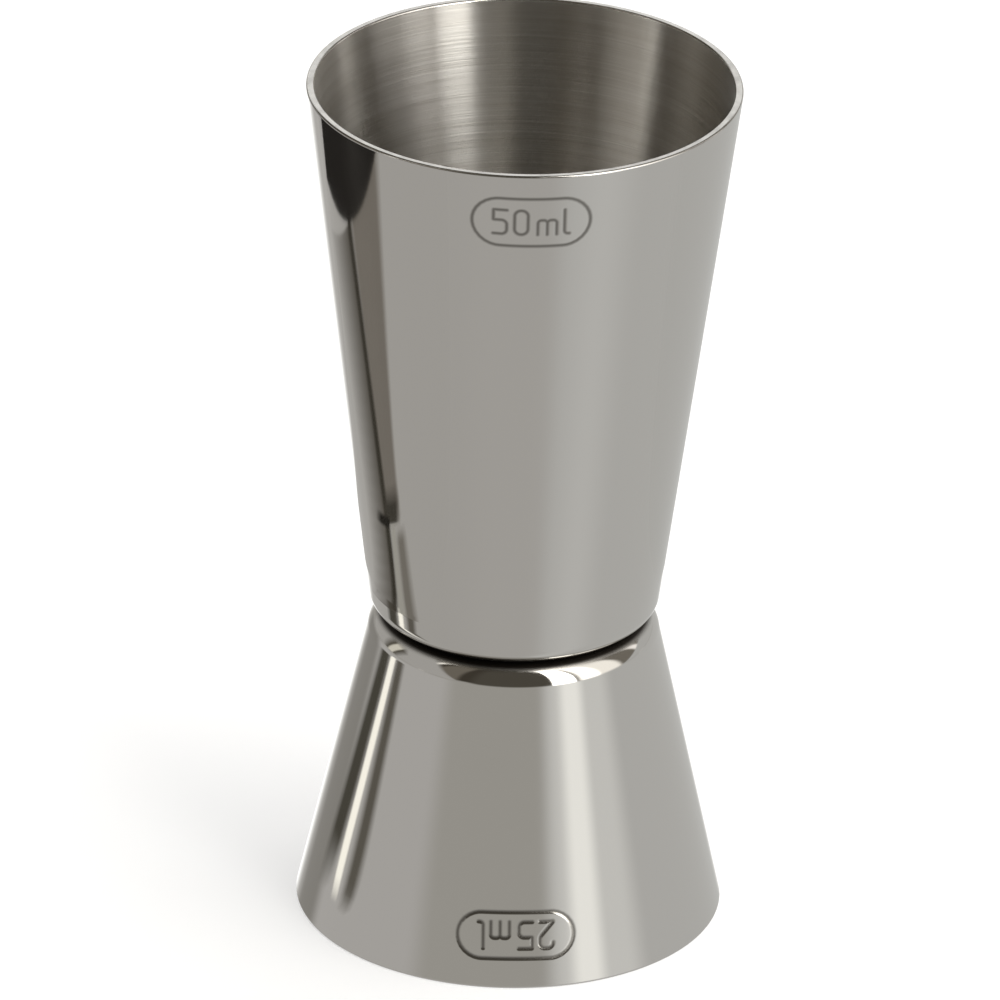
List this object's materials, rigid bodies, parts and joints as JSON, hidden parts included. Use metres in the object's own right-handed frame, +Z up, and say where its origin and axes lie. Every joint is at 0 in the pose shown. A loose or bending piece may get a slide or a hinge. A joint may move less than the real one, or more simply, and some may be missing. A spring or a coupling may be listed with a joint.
{
  "type": "bar jigger",
  "caption": "Double-ended bar measure: a tall flared steel cup and a short flared steel cup welded base to base, with a capacity mark on each.",
  "frame": {"origin": "centre of the small cup's rim, at the plane that the jigger stands on", "axes": "+Z up along the common axis of both cups, towards the large cup's mouth; -Y through the capacity marks"},
  "size_m": [0.0426, 0.0426, 0.0881],
  "materials": {
    "large_cup_steel": "stainless steel, mirror polished outside and on the rim, brushed round the bore inside",
    "small_cup_steel": "stainless steel, mirror polished outside and on the rim, brushed round the bore inside",
    "weld_steel": "dull cast structure of a resistance weld nugget"
  },
  "bodies": {
    "root": {"upper_cup": "large_cup_steel", "lower_cup": "small_cup_steel", "spot_weld_1": "weld_steel", "spot_weld_2": "weld_steel", "spot_weld_3": "weld_steel"}
  },
  "joints": []
}
